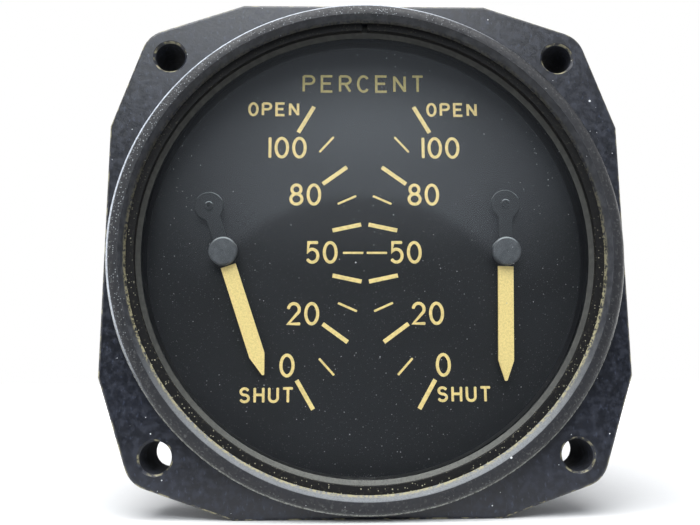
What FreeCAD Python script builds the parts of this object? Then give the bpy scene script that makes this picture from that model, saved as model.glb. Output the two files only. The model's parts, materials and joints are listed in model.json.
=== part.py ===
import FreeCAD, Part
import math
import os

from FreeCAD import Vector

# Cowl flap position indicator: two pointers side by side behind one glass, each on its own movement.
# X runs to the right of the dial, Z up and Y into the panel, in millimetres. The origin is the centre
# of the flange's front face, on the case axis.

# Round rim that stands through the panel. Its wall is measured in to the bore.
RIM_RADIUS = 39.69
RIM_HEIGHT = 3.05
RIM_CROWN = 1.4
CROWN_MIDDLE_ANGLE = 50.0
RIM_FACE = 2.19
RIM_WALL = 2.89

# Mounting flange, with a hole in each corner. Shelf and margin are measured out from the rim.
FLANGE_SHELF = 0.79
FLANGE_FLAT = 39.4
FLANGE_THICK = 6.35
FLANGE_EDGE_ROUND = 0.5
HOLE_MARGIN = 4.76
HOLE_RADIUS = 2.4
HOLE_CHAMFER = 0.35
CORNER_RADIUS = 4.76
BOSS_DEPTH = 11.1

# Barrel behind the flange
BARREL_WALL = 2.1
BARREL_DRAFT = 0.5
BACK_WALL = 3.2
BACK_ROUND = 3.0
SHOULDER_WIDTH = 0.9

# Front stack, from the rim's face inwards. Each lip is how far a ring reaches in from the bore.
SNAP_RECESS = 1.95
SNAP_THICK = 1.0
SNAP_LIP = 1.2
SNAP_SPLIT = 0.8
GROOVE_DEPTH = 1.0
GROOVE_PLAY = 0.05
GASKET_THICK = 0.5
GASKET_LIP = 1.9
GLASS_THICK = 1.6
SPACER_LENGTH = 2.4
SPACER_LIP = 1.8
DIAL_THICK = 0.8
DIAL_HOLE = 1.9
BORE_PLAY = 0.15

# Chassis: two plates on posts
FRONT_PLATE_THICK = 2.0
PLATE_PLAY = 0.3
CAN_LENGTH = 19.8
BEARING_PLATE_THICK = 2.0
REAR_POST_LENGTH = 21.8
POST_RADIUS = 3.0
POST_STUD_RADIUS = 1.5
STUD_GRIP = 5.0
POST_X = 10.0
POST_MARGIN = 4.1

# Movements, one about each pivot, set out as far as the case allows
CAN_MARGIN = 0.82
CAN_RADIUS = 12.5
CAN_WALL = 0.6
CAN_BASE = 0.8
CUP_BASE = 0.8
CUP_WALL = 0.6
COIL_PLAY = 0.3
WINDING_DEPTH = 5.2
WINDING_LENGTH = 12.2
WINDING_BUILD = 1.4
AIR_GAP = 0.7
MAGNET_LENGTH = 10.0
MAGNET_INSET = 2.2
SHAFT_RADIUS = 0.8
PIVOT_RADIUS = 0.5
PIVOT_FLOAT = 0.5
RUNNING_PLAY = 0.05
BUSH_RADIUS = 1.8
BUSH_COLLAR = 0.6
BUSH_COLLAR_THICK = 0.5
COLLAR_PLAY = 0.4

# Pointers
LEFT_REST_ANGLE = -71.3
RIGHT_REST_ANGLE = -92.0
POINTER_GAP = 0.7
BLADE_THICK = 0.4
BLADE_WIDTH = 2.45
BLADE_TAPER = 3.2
BLADE_TIP = 20.5
TIP_HALF_WIDTH = 0.22
TIP_ROUND = 0.2
TAIL_REACH = 7.9
TAIL_RADIUS = 2.32
TAIL_ARM_WIDTH = 2.2
TAIL_BLEND = 1.0
TAIL_EDGE_ROUND = 0.12
HUB_RADIUS = 2.26
HUB_HEIGHT = 1.05
HUB_EDGE_WIDTH = 0.25
HUB_EDGE_DEPTH = 0.14
HUB_STEM_RADIUS = 1.2
HUB_STEM_END = 0.35
DIMPLE_RADIUS = 0.22
DIMPLE_DEPTH = 0.15
WEIGHT_RADIUS = 2.2
WEIGHT_THICK = 0.27
RIVET_RADIUS = 0.45
RIVET_HEAD_RADIUS = 0.76
RIVET_HEAD_HEIGHT = 0.2
RIVET_EDGE_WIDTH = 0.14
RIVET_EDGE_DEPTH = 0.1
RIVET_HOLE_RADIUS = 0.28
RIVET_HOLE_DEPTH = 0.4

# Electrical receptacle on the back, and the leads to it
CONNECTOR_FLANGE = 30.2
CONNECTOR_CORNER = 2.4
CONNECTOR_FLANGE_THICK = 2.4
CONNECTOR_SCREW_INSET = 3.6
CONNECTOR_RADIUS = 11.11
CONNECTOR_LENGTH = 14.3
CONNECTOR_WALL = 2.41
REAR_SHELL_WALL = 1.0
REAR_SHELL_LENGTH = 7.0
INSERT_LENGTH = 11.5
INSERT_OVERHANG = 0.5
PIN_COUNT = 5
PIN_RADIUS = 0.8
PIN_CIRCLE = 4.6
PIN_REACH = 6.0
PIN_TAIL = 3.0
PIN_START_ANGLE = 90.0
KEY_WIDTH = 1.6
KEY_HEIGHT = 0.9
LEAD_RADIUS = 0.9
LEAD_PLAY = 0.4
LEAD_RUN_OUT = 4.0
LEAD_END = 4.5
LEAD_BEND_SHARE = 0.45

# Screws
CONNECTOR_SCREW_RADIUS = 1.35
CONNECTOR_SCREW_LENGTH = 4.6
CONNECTOR_HEAD_RADIUS = 2.1
CONNECTOR_HEAD_HEIGHT = 1.6
CHASSIS_HEAD_RADIUS = 3.0
CHASSIS_HEAD_HEIGHT = 2.2
SLOT_WIDTH = 0.8
SLOT_DEPTH = 0.7
SCREW_PLAY = 0.2

# Places along Y that follow from the stack
SNAP_FRONT = -RIM_HEIGHT + SNAP_RECESS
SNAP_BACK = SNAP_FRONT + SNAP_THICK
GLASS_FRONT = SNAP_BACK + GASKET_THICK
GLASS_BACK = GLASS_FRONT + GLASS_THICK
DIAL_FRONT = GLASS_BACK + SPACER_LENGTH
DIAL_BACK = DIAL_FRONT + DIAL_THICK
PLATE_BACK = DIAL_BACK + FRONT_PLATE_THICK
BEARING_FRONT = PLATE_BACK + CAN_LENGTH
BEARING_BACK = BEARING_FRONT + BEARING_PLATE_THICK
FLOOR = BEARING_BACK + REAR_POST_LENGTH
CASE_BACK = FLOOR + BACK_WALL
WINDING_FRONT = PLATE_BACK + CAN_BASE + CUP_BASE
WINDING_BACK = WINDING_FRONT + WINDING_LENGTH
MAGNET_FRONT = WINDING_FRONT + MAGNET_INSET
MAGNET_BACK = MAGNET_FRONT + MAGNET_LENGTH
SHAFT_SHOULDER = BEARING_FRONT - BUSH_COLLAR_THICK - PIVOT_FLOAT
BLADE_BACK = DIAL_FRONT - POINTER_GAP
BLADE_FRONT = BLADE_BACK - BLADE_THICK
HUB_FRONT = BLADE_FRONT - HUB_HEIGHT
INSERT_FRONT = CASE_BACK - REAR_SHELL_LENGTH - INSERT_OVERHANG
INSERT_BACK = INSERT_FRONT + INSERT_LENGTH

# Radii of the case and of what it holds, from the rim inwards
FLANGE_HALF = RIM_RADIUS + FLANGE_SHELF
HOLE_CIRCLE_RADIUS = RIM_RADIUS + HOLE_MARGIN
HOLE_OFFSET = HOLE_CIRCLE_RADIUS / math.sqrt(2)
MOUTH_RADIUS = RIM_RADIUS - RIM_FACE
BORE_RADIUS = RIM_RADIUS - RIM_WALL
GROOVE_RADIUS = BORE_RADIUS + GROOVE_DEPTH
BARREL_RADIUS = BORE_RADIUS + BARREL_WALL
WALL_MIDDLE = (BARREL_RADIUS + BORE_RADIUS) / 2
SNAP_INNER = BORE_RADIUS - SNAP_LIP
GASKET_INNER = BORE_RADIUS - GASKET_LIP
SPACER_INNER = BORE_RADIUS - SPACER_LIP
STACK_RADIUS = BORE_RADIUS - BORE_PLAY
CAVITY_RADIUS = BORE_RADIUS - SHOULDER_WIDTH
PLATE_RADIUS = CAVITY_RADIUS - PLATE_PLAY
POST_CIRCLE_RADIUS = CAVITY_RADIUS - POST_MARGIN - POST_RADIUS
POST_Z = math.sqrt(POST_CIRCLE_RADIUS ** 2 - POST_X ** 2)

# Movement: pivot place, then the pieces from the can inwards
PIVOT_OFFSET = CAVITY_RADIUS - CAN_MARGIN - CAN_RADIUS
WINDING_RADIUS = CAN_RADIUS - CAN_WALL - COIL_PLAY
WINDING_BORE = WINDING_RADIUS - WINDING_DEPTH
CUP_RADIUS = WINDING_BORE - COIL_PLAY
MAGNET_RADIUS = CUP_RADIUS - CUP_WALL - AIR_GAP
BUSH_COLLAR_RADIUS = BUSH_RADIUS + BUSH_COLLAR
CUP_BORE = BUSH_COLLAR_RADIUS + COLLAR_PLAY
BLADE_SHOULDER = BLADE_TIP - BLADE_TAPER

# Receptacle
CONNECTOR_BORE = CONNECTOR_RADIUS - CONNECTOR_WALL
REAR_SHELL_RADIUS = CONNECTOR_BORE + REAR_SHELL_WALL
CONNECTOR_SPACING = CONNECTOR_FLANGE - 2 * CONNECTOR_SCREW_INSET

ORIGIN = Vector(0, 0, 0)
INTO_PANEL = Vector(0, 1, 0)
TOWARDS_VIEWER = Vector(0, -1, 0)
SIDES = {"left": -1, "right": 1}
REST_ANGLES = {"left": LEFT_REST_ANGLE, "right": RIGHT_REST_ANGLE}
CORNERS = [(1, 1), (-1, 1), (-1, -1), (1, -1)]


def rod(radius, y_from, y_to, x=0.0, z=0.0):
    """A round rod along Y."""
    return Part.makeCylinder(radius, y_to - y_from, Vector(x, y_from, z), INTO_PANEL)


def ring(outer, inner, y_from, y_to, x=0.0, z=0.0):
    """A plain ring along Y."""
    return rod(outer, y_from, y_to, x, z).cut(rod(inner, y_from, y_to, x, z))


def turned(outline, x=0.0):
    """Turn a closed outline of (radius, y) points about Y. A pair of points is an arc through the first."""
    here = Vector(outline[0][0], outline[0][1], 0)
    edges = []
    for step in outline[1:] + outline[:1]:
        if isinstance(step[0], tuple):
            middle, end = step
            there = Vector(end[0], end[1], 0)
            edges.append(Part.Arc(here, Vector(middle[0], middle[1], 0), there).toShape())
        else:
            there = Vector(step[0], step[1], 0)
            edges.append(Part.LineSegment(here, there).toShape())
        here = there
    solid = Part.Face(Part.Wire(edges)).revolve(ORIGIN, INTO_PANEL, 360)
    solid.translate(Vector(x, 0, 0))
    return solid


def prism(edges, y_from, y_to):
    """Carry a closed outline in the plane y = y_from along Y."""
    return Part.Face(Part.Wire(edges)).extrude(Vector(0, y_to - y_from, 0))


def join(shapes):
    """Fuse solids and clear the seams between flush faces."""
    whole = shapes[0]
    for shape in shapes[1:]:
        whole = whole.fuse(shape)
    return whole.removeSplitter()


def bore(shape, cutters):
    """Cut a list of tools out of a solid."""
    for cutter in cutters:
        shape = shape.cut(cutter)
    return shape


def corner_places(spacing):
    """The four corners of a square with the given spacing."""
    return [(sx * spacing / 2, sz * spacing / 2) for sx, sz in CORNERS]


def post_places():
    return [(sx * POST_X, sz * POST_Z) for sx, sz in CORNERS]


def corner_tangent(quarter, vertex):
    """Where a line from a vertex touches the outside of the corner's arc, as an angle and a point."""
    centre_x = quarter[0] * HOLE_OFFSET
    centre_z = quarter[1] * HOLE_OFFSET
    away_x = vertex[0] - centre_x
    away_z = vertex[1] - centre_z
    reach = math.hypot(away_x, away_z)
    spread = math.acos(CORNER_RADIUS / reach)
    outward = math.atan2(quarter[1], quarter[0])
    heading = math.atan2(away_z, away_x)
    turn = math.remainder(outward - heading, 2 * math.pi)
    angle = heading + math.copysign(spread, turn)
    return centre_x + CORNER_RADIUS * math.cos(angle), centre_z + CORNER_RADIUS * math.sin(angle)


def flange_outline():
    """Straight sides, slanting shoulders and round corners about the holes, in the plane y = 0."""
    flat = FLANGE_FLAT / 2
    edges = []
    previous = None
    first = None
    for sx, sz in CORNERS:
        upright = (sx * FLANGE_HALF, sz * flat)
        level = (sx * flat, sz * FLANGE_HALF)
        entry, leave = (upright, level) if sx * sz > 0 else (level, upright)
        touch_in = corner_tangent((sx, sz), entry)
        touch_out = corner_tangent((sx, sz), leave)
        bulge = HOLE_OFFSET + CORNER_RADIUS / math.sqrt(2)
        corner = (sx * bulge, sz * bulge)
        if previous is None:
            first = entry
        else:
            edges.append(side(previous, entry))
        edges.append(side(entry, touch_in))
        arc = Part.Arc(Vector(touch_in[0], 0, touch_in[1]), Vector(corner[0], 0, corner[1]),
                       Vector(touch_out[0], 0, touch_out[1]))
        edges.append(arc.toShape())
        edges.append(side(touch_out, leave))
        previous = leave
    edges.append(side(previous, first))
    return edges


def side(start, end):
    """A straight edge in the plane y = 0 between two (x, z) points."""
    return Part.LineSegment(Vector(start[0], 0, start[1]), Vector(end[0], 0, end[1])).toShape()


def flange_plate():
    """The flange, its front edge eased all round, open for the barrel."""
    plate = prism(flange_outline(), 0, FLANGE_THICK)
    front = [edge for edge in plate.Edges if edge.BoundBox.YMax < FLANGE_EDGE_ROUND / 2]
    plate = plate.makeFillet(FLANGE_EDGE_ROUND, front)
    return plate.cut(rod(WALL_MIDDLE, 0, FLANGE_THICK))


def corner_boss(quarter):
    """The deeper boss round a mounting hole, with the web that ties it to the barrel."""
    x = quarter[0] * HOLE_OFFSET
    z = quarter[1] * HOLE_OFFSET
    post = rod(CORNER_RADIUS, FLANGE_THICK / 2, BOSS_DEPTH, x, z)
    web = Part.makeBox(HOLE_CIRCLE_RADIUS - WALL_MIDDLE, BOSS_DEPTH - FLANGE_THICK / 2, 2 * CORNER_RADIUS,
                       Vector(WALL_MIDDLE, FLANGE_THICK / 2, -CORNER_RADIUS))
    angle = math.degrees(math.atan2(quarter[1], quarter[0]))
    web.rotate(ORIGIN, TOWARDS_VIEWER, angle)
    return post.fuse(web)


def mounting_hole(quarter):
    """A through hole with an eased mouth."""
    x = quarter[0] * HOLE_OFFSET
    z = quarter[1] * HOLE_OFFSET
    mouth = Part.makeCone(HOLE_RADIUS + HOLE_CHAMFER, HOLE_RADIUS, HOLE_CHAMFER, Vector(x, 0, z), INTO_PANEL)
    return rod(HOLE_RADIUS, 0, BOSS_DEPTH, x, z).fuse(mouth)


def barrel():
    """Rim, bevelled mouth, ring groove, dial shoulder and closed barrel in one turning."""
    back_radius = BARREL_RADIUS - BARREL_DRAFT
    slant = BACK_ROUND * (1 - 1 / math.sqrt(2))
    crown_angle = math.radians(CROWN_MIDDLE_ANGLE)
    crown_x = RIM_RADIUS - RIM_FACE * (1 - math.cos(crown_angle))
    crown_y = -RIM_HEIGHT + RIM_CROWN * (1 - math.sin(crown_angle))
    return turned([
        (MOUTH_RADIUS, -RIM_HEIGHT),
        ((crown_x, crown_y), (RIM_RADIUS, -RIM_HEIGHT + RIM_CROWN)),
        (RIM_RADIUS, 0),
        (RIM_RADIUS, FLANGE_THICK / 2),
        (BARREL_RADIUS, FLANGE_THICK / 2),
        (BARREL_RADIUS, FLANGE_THICK),
        (back_radius, CASE_BACK - BACK_ROUND),
        ((back_radius - slant, CASE_BACK - slant), (back_radius - BACK_ROUND, CASE_BACK)),
        (0, CASE_BACK),
        (0, FLOOR),
        (CAVITY_RADIUS, FLOOR),
        (CAVITY_RADIUS, DIAL_BACK),
        (BORE_RADIUS, DIAL_BACK),
        (BORE_RADIUS, SNAP_BACK + GROOVE_PLAY),
        (GROOVE_RADIUS, SNAP_BACK + GROOVE_PLAY),
        (GROOVE_RADIUS, SNAP_FRONT - GROOVE_PLAY),
        (BORE_RADIUS, SNAP_FRONT - GROOVE_PLAY),
    ])


def case():
    """The moulded case: flange, rim, corner bosses and barrel, with the holes in its back."""
    body = join([barrel(), flange_plate()] + [corner_boss(quarter) for quarter in CORNERS])
    cutters = [mounting_hole(quarter) for quarter in CORNERS]
    cutters.append(rod(REAR_SHELL_RADIUS + SCREW_PLAY, FLOOR, CASE_BACK))
    for x, z in corner_places(CONNECTOR_SPACING):
        cutters.append(rod(CONNECTOR_SCREW_RADIUS, FLOOR, CASE_BACK, x, z))
    for x, z in post_places():
        cutters.append(rod(POST_STUD_RADIUS + SCREW_PLAY, FLOOR, CASE_BACK, x, z))
    return bore(body, cutters)


def snap_ring():
    """The split retaining ring that holds the glass."""
    body = ring(GROOVE_RADIUS - BORE_PLAY, SNAP_INNER, SNAP_FRONT, SNAP_BACK)
    split = Part.makeBox(SNAP_SPLIT, SNAP_THICK, GROOVE_RADIUS, Vector(-SNAP_SPLIT / 2, SNAP_FRONT, 0))
    return body.cut(split)


def glass_gasket():
    """The rubber ring between retaining ring and glass, its inner edge bevelled."""
    return turned([
        (SNAP_INNER, SNAP_BACK),
        (STACK_RADIUS, SNAP_BACK),
        (STACK_RADIUS, GLASS_FRONT),
        (GASKET_INNER, GLASS_FRONT),
    ])


def cover_glass():
    return rod(STACK_RADIUS, GLASS_FRONT, GLASS_BACK)


def spacer_ring():
    return ring(STACK_RADIUS, SPACER_INNER, GLASS_BACK, DIAL_FRONT)


def dial():
    """The dial plate, with a hole for each hub."""
    holes = [rod(DIAL_HOLE, DIAL_FRONT, DIAL_BACK, sign * PIVOT_OFFSET) for sign in SIDES.values()]
    return bore(rod(STACK_RADIUS, DIAL_FRONT, DIAL_BACK), holes)


def front_plate():
    """The plate behind the dial that carries the front bushes and the staked posts."""
    cutters = [rod(BUSH_RADIUS, DIAL_BACK, PLATE_BACK, sign * PIVOT_OFFSET) for sign in SIDES.values()]
    cutters += [rod(POST_STUD_RADIUS, DIAL_BACK, PLATE_BACK, x, z) for x, z in post_places()]
    return bore(rod(PLATE_RADIUS, DIAL_BACK, PLATE_BACK), cutters)


def bearing_plate():
    """The plate that carries the rear bushes, with a hole for each lead."""
    cutters = []
    for sign in SIDES.values():
        cutters.append(rod(BUSH_RADIUS, BEARING_FRONT, BEARING_BACK, sign * PIVOT_OFFSET))
        cutters.append(rod(LEAD_RADIUS + LEAD_PLAY, BEARING_FRONT, BEARING_BACK, sign * lead_start()))
    cutters += [rod(POST_STUD_RADIUS, BEARING_FRONT, BEARING_BACK, x, z) for x, z in post_places()]
    return bore(rod(PLATE_RADIUS, BEARING_FRONT, BEARING_BACK), cutters)


def front_post(x, z):
    """A post staked into the front plate and tapped at its far end."""
    body = rod(POST_RADIUS, PLATE_BACK, BEARING_FRONT, x, z)
    tenon = rod(POST_STUD_RADIUS, DIAL_BACK, PLATE_BACK, x, z)
    tapped = rod(POST_STUD_RADIUS, BEARING_FRONT - STUD_GRIP, BEARING_FRONT, x, z)
    return join([body, tenon]).cut(tapped)


def rear_post(x, z):
    """A post whose stud clamps the bearing plate, tapped at the floor of the case."""
    body = rod(POST_RADIUS, BEARING_BACK, FLOOR, x, z)
    stud = rod(POST_STUD_RADIUS, BEARING_FRONT - STUD_GRIP, BEARING_BACK, x, z)
    tapped = rod(POST_STUD_RADIUS, FLOOR - STUD_GRIP, FLOOR, x, z)
    return join([body, stud]).cut(tapped)


def slotted_screw(x, z, seat, radius, length, head_radius, head_height):
    """A cheese-head screw whose head sits on the plane y = seat, with its slot level."""
    head = rod(head_radius, seat, seat + head_height, x, z)
    shank = rod(radius, seat - length, seat, x, z)
    slot = Part.makeBox(2 * head_radius, SLOT_DEPTH, SLOT_WIDTH,
                        Vector(x - head_radius, seat + head_height - SLOT_DEPTH, z - SLOT_WIDTH / 2))
    return join([head, shank]).cut(slot)


def chassis_screw(x, z):
    return slotted_screw(x, z, CASE_BACK, POST_STUD_RADIUS, BACK_WALL + STUD_GRIP,
                         CHASSIS_HEAD_RADIUS, CHASSIS_HEAD_HEIGHT)


def connector_screw(x, z):
    return slotted_screw(x, z, CASE_BACK + CONNECTOR_FLANGE_THICK, CONNECTOR_SCREW_RADIUS,
                         CONNECTOR_SCREW_LENGTH, CONNECTOR_HEAD_RADIUS, CONNECTOR_HEAD_HEIGHT)


def shield_can(x):
    """The can round one movement, open at its back."""
    return turned([
        (CUP_BORE, PLATE_BACK),
        (CAN_RADIUS, PLATE_BACK),
        (CAN_RADIUS, BEARING_FRONT),
        (CAN_RADIUS - CAN_WALL, BEARING_FRONT),
        (CAN_RADIUS - CAN_WALL, PLATE_BACK + CAN_BASE),
        (CUP_BORE, PLATE_BACK + CAN_BASE),
    ], x)


def damping_cup(x):
    """The flanged copper tube between rotor and stator."""
    return turned([
        (CUP_BORE, PLATE_BACK + CAN_BASE),
        (WINDING_RADIUS, PLATE_BACK + CAN_BASE),
        (WINDING_RADIUS, WINDING_FRONT),
        (CUP_RADIUS, WINDING_FRONT),
        (CUP_RADIUS, WINDING_BACK),
        (CUP_RADIUS - CUP_WALL, WINDING_BACK),
        (CUP_RADIUS - CUP_WALL, WINDING_FRONT),
        (CUP_BORE, WINDING_FRONT),
    ], x)


def stator_core(x):
    return ring(WINDING_RADIUS - WINDING_BUILD, WINDING_BORE + WINDING_BUILD,
                WINDING_FRONT + WINDING_BUILD, WINDING_BACK - WINDING_BUILD, x)


def stator_winding(x):
    """The coils wound through and round the core."""
    return ring(WINDING_RADIUS, WINDING_BORE, WINDING_FRONT, WINDING_BACK, x).cut(stator_core(x))


def front_bush(x):
    """The bush pressed into the front plate from behind."""
    body = ring(BUSH_RADIUS, SHAFT_RADIUS + RUNNING_PLAY, DIAL_BACK, PLATE_BACK + BUSH_COLLAR_THICK, x)
    collar = ring(BUSH_COLLAR_RADIUS, BUSH_RADIUS, PLATE_BACK, PLATE_BACK + BUSH_COLLAR_THICK, x)
    return join([body, collar])


def rear_bush(x):
    """The bush pressed into the bearing plate from the front."""
    body = ring(BUSH_RADIUS, PIVOT_RADIUS + RUNNING_PLAY, BEARING_FRONT - BUSH_COLLAR_THICK, BEARING_BACK, x)
    collar = ring(BUSH_COLLAR_RADIUS, BUSH_RADIUS, BEARING_FRONT - BUSH_COLLAR_THICK, BEARING_FRONT, x)
    return join([body, collar])


def rotor_shaft(x):
    """The pointer shaft, stepped down to its rear pivot."""
    return turned([
        (0, BLADE_FRONT),
        (SHAFT_RADIUS, BLADE_FRONT),
        (SHAFT_RADIUS, SHAFT_SHOULDER),
        (PIVOT_RADIUS, SHAFT_SHOULDER),
        (PIVOT_RADIUS, BEARING_BACK),
        (0, BEARING_BACK),
    ], x)


def rotor_magnet(x):
    return ring(MAGNET_RADIUS, SHAFT_RADIUS, MAGNET_FRONT, MAGNET_BACK, x)


def flat_shape(outline, y_from, y_to):
    """A plate cut to an outline of (x, z) points. A pair of points is an arc through the first."""
    here = Vector(outline[0][0], y_from, outline[0][1])
    edges = []
    for step in outline[1:] + outline[:1]:
        if isinstance(step[0], tuple):
            middle, end = step
            there = Vector(end[0], y_from, end[1])
            edges.append(Part.Arc(here, Vector(middle[0], y_from, middle[1]), there).toShape())
        else:
            there = Vector(step[0], y_from, step[1])
            edges.append(Part.LineSegment(here, there).toShape())
        here = there
    return prism(edges, y_from, y_to)


def pointer():
    """Blade, tail arm and tail disc in one stamping, pointing along +X from its pivot."""
    half = BLADE_WIDTH / 2
    nose = BLADE_TIP - TIP_ROUND
    blade = flat_shape([
        (0, -half),
        (BLADE_SHOULDER, -half),
        (nose, -TIP_HALF_WIDTH),
        ((BLADE_TIP, 0), (nose, TIP_HALF_WIDTH)),
        (BLADE_SHOULDER, half),
        (0, half),
    ], BLADE_FRONT, BLADE_BACK)
    arm = Part.makeBox(TAIL_REACH, BLADE_THICK, TAIL_ARM_WIDTH,
                       Vector(-TAIL_REACH, BLADE_FRONT, -TAIL_ARM_WIDTH / 2))
    tail = rod(TAIL_RADIUS, BLADE_FRONT, BLADE_BACK, -TAIL_REACH)
    middle = rod(HUB_RADIUS, BLADE_FRONT, BLADE_BACK)
    plate = join([blade, arm, tail, middle])
    inner = [edge for edge in plate.Edges
             if edge.BoundBox.YLength > BLADE_THICK / 2 and -TAIL_REACH < edge.BoundBox.XMin < -HUB_RADIUS]
    plate = plate.makeFillet(TAIL_BLEND, inner)
    rim = [edge for edge in plate.Edges
           if edge.BoundBox.YMax < BLADE_FRONT + BLADE_THICK / 4 and edge.BoundBox.XMax < -HUB_RADIUS / 2]
    plate = plate.makeFillet(TAIL_EDGE_ROUND, rim)
    return bore(plate, [rod(HUB_STEM_RADIUS, BLADE_FRONT, BLADE_BACK),
                        rod(RIVET_RADIUS, BLADE_FRONT, BLADE_BACK, -TAIL_REACH)])


def pointer_hub():
    """The round hub with its eased edge and centre dimple, and the stem that grips the shaft behind the blade."""
    stem_end = BLADE_BACK + HUB_STEM_END
    return turned([
        (0, HUB_FRONT + DIMPLE_DEPTH),
        (DIMPLE_RADIUS, HUB_FRONT + DIMPLE_DEPTH),
        (DIMPLE_RADIUS, HUB_FRONT),
        (HUB_RADIUS - HUB_EDGE_WIDTH, HUB_FRONT),
        (HUB_RADIUS, HUB_FRONT + HUB_EDGE_DEPTH),
        (HUB_RADIUS, BLADE_FRONT),
        (HUB_STEM_RADIUS, BLADE_FRONT),
        (HUB_STEM_RADIUS, stem_end),
        (SHAFT_RADIUS, stem_end),
        (SHAFT_RADIUS, BLADE_FRONT),
        (0, BLADE_FRONT),
    ])


def counterweight():
    """The disc that balances the blade, on the back of the tail."""
    return ring(WEIGHT_RADIUS, RIVET_RADIUS, BLADE_BACK, BLADE_BACK + WEIGHT_THICK, -TAIL_REACH)


def balance_rivet():
    """The rivet through tail and counterweight, its head eased round the edge and hollow in the middle."""
    head_front = BLADE_FRONT - RIVET_HEAD_HEIGHT
    return turned([
        (0, head_front + RIVET_HOLE_DEPTH),
        (RIVET_HOLE_RADIUS, head_front + RIVET_HOLE_DEPTH),
        (RIVET_HOLE_RADIUS, head_front),
        (RIVET_HEAD_RADIUS - RIVET_EDGE_WIDTH, head_front),
        (RIVET_HEAD_RADIUS, head_front + RIVET_EDGE_DEPTH),
        (RIVET_HEAD_RADIUS, BLADE_FRONT),
        (RIVET_RADIUS, BLADE_FRONT),
        (RIVET_RADIUS, BLADE_BACK + WEIGHT_THICK),
        (0, BLADE_BACK + WEIGHT_THICK),
    ], -TAIL_REACH)


def on_pivot(shape, name):
    """Turn a pointer piece to its rest direction and carry it to its pivot."""
    shape.rotate(ORIGIN, TOWARDS_VIEWER, REST_ANGLES[name])
    shape.translate(Vector(SIDES[name] * PIVOT_OFFSET, 0, 0))
    return shape


def pin_places():
    """The middle contact and the circle of contacts round it."""
    places = [(0.0, 0.0)]
    for number in range(PIN_COUNT):
        angle = math.radians(PIN_START_ANGLE + number * 360 / PIN_COUNT)
        places.append((PIN_CIRCLE * math.cos(angle), PIN_CIRCLE * math.sin(angle)))
    return places


def connector_shell():
    """The receptacle's shell, its square flange on the back of the case and its key at the top."""
    half = CONNECTOR_FLANGE / 2
    plate = Part.makeBox(CONNECTOR_FLANGE, CONNECTOR_FLANGE_THICK, CONNECTOR_FLANGE,
                         Vector(-half, CASE_BACK, -half))
    corners = [edge for edge in plate.Edges if edge.BoundBox.YLength > CONNECTOR_FLANGE_THICK / 2]
    plate = plate.makeFillet(CONNECTOR_CORNER, corners)
    rear = rod(REAR_SHELL_RADIUS, CASE_BACK - REAR_SHELL_LENGTH, CASE_BACK)
    front = rod(CONNECTOR_RADIUS, CASE_BACK, CASE_BACK + CONNECTOR_LENGTH)
    body = join([plate, rear, front])
    cutters = [rod(CONNECTOR_BORE, CASE_BACK - REAR_SHELL_LENGTH, CASE_BACK + CONNECTOR_LENGTH)]
    for x, z in corner_places(CONNECTOR_SPACING):
        cutters.append(rod(CONNECTOR_SCREW_RADIUS + SCREW_PLAY,
                           CASE_BACK, CASE_BACK + CONNECTOR_FLANGE_THICK, x, z))
    key_length = CASE_BACK + CONNECTOR_LENGTH - INSERT_BACK
    key = Part.makeBox(KEY_WIDTH, key_length, KEY_HEIGHT + REAR_SHELL_WALL / 2,
                       Vector(-KEY_WIDTH / 2, INSERT_BACK, CONNECTOR_BORE - KEY_HEIGHT))
    return join([bore(body, cutters), key])


def connector_insert():
    """The moulded block that holds the contacts."""
    holes = [rod(PIN_RADIUS, INSERT_FRONT, INSERT_BACK, x, z) for x, z in pin_places()]
    return bore(rod(CONNECTOR_BORE, INSERT_FRONT, INSERT_BACK), holes)


def contact_pin(x, z):
    """A contact, from its solder end inside the case to its tip in the shell."""
    return rod(PIN_RADIUS, INSERT_FRONT - PIN_TAIL, INSERT_BACK + PIN_REACH, x, z)


def lead_start():
    """How far from the case axis a lead leaves its winding."""
    return PIVOT_OFFSET - (WINDING_RADIUS + WINDING_BORE) / 2


def outer_contact():
    """The contact furthest to the right, where the right lead ends."""
    return max(pin_places())


def bend(before, corner, after):
    """The tangent arc that rounds one point of a route, as its start, middle and end."""
    back = (before - corner).normalize()
    on = (after - corner).normalize()
    reach = LEAD_BEND_SHARE * min((before - corner).Length, (after - corner).Length)
    half_turn = (math.pi - back.getAngle(on)) / 2
    radius = reach / math.tan(half_turn)
    inward = (back + on).normalize()
    centre = corner + inward * (radius / math.cos(half_turn))
    return corner + back * reach, centre - inward * radius, corner + on * reach


def lead(sign):
    """The sleeved lead from a winding, through the bearing plate, to its contact."""
    x_end, z_end = outer_contact()
    pin_end = INSERT_FRONT - PIN_TAIL
    route = [
        Vector(sign * lead_start(), WINDING_BACK, 0),
        Vector(sign * lead_start(), BEARING_BACK + LEAD_RUN_OUT, 0),
        Vector(sign * x_end, pin_end - LEAD_END, z_end),
        Vector(sign * x_end, pin_end, z_end),
    ]
    edges = []
    here = route[0]
    for number in (1, 2):
        start, middle, end = bend(route[number - 1], route[number], route[number + 1])
        edges.append(Part.LineSegment(here, start).toShape())
        edges.append(Part.Arc(start, middle, end).toShape())
        here = end
    edges.append(Part.LineSegment(here, route[3]).toShape())
    section = Part.Wire([Part.makeCircle(LEAD_RADIUS, route[0], INTO_PANEL)])
    return Part.Wire(edges).makePipeShell([section], True, True)


def group(maker, places):
    """Like pieces as separate solids in one node, one at each place."""
    return Part.makeCompound([maker(x, z) for x, z in places])


def save(name, shape):
    """Write one piece."""
    if not shape.isValid() or shape.Volume <= 0:
        raise ValueError("not a sound solid: " + name)
    shape.exportStep("parts/" + name + ".step")


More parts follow.
